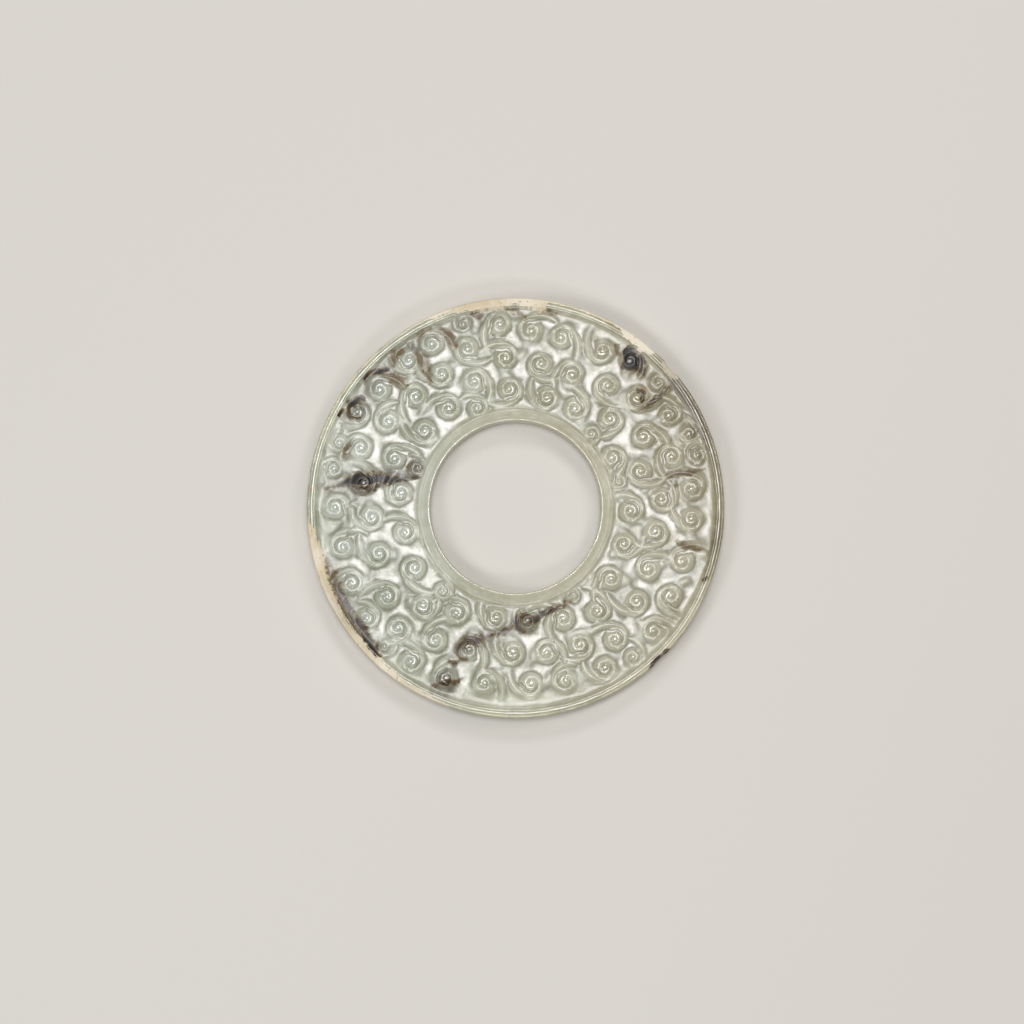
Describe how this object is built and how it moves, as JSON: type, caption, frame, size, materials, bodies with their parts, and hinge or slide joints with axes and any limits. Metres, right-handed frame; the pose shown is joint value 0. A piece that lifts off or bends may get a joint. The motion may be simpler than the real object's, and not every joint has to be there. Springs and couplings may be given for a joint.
{
  "type": "jade huan ring",
  "caption": "Flat carved jade ring, a huan, with a round centre hole, plain polished rims and a sunk field of raised curls on both faces; lies flat or is strung on a cord.",
  "frame": {"origin": "centre of the ring, on the flat surface that its underside rims lie on", "axes": "+Z out of the carved face along the axis of the hole, +Y towards the calcified top edge, +X to the right of it"},
  "size_m": [0.076, 0.0768, 0.0044],
  "materials": {
    "jade": "polished"
  },
  "bodies": {
    "root": {"jade_ring": "jade"}
  },
  "joints": []
}
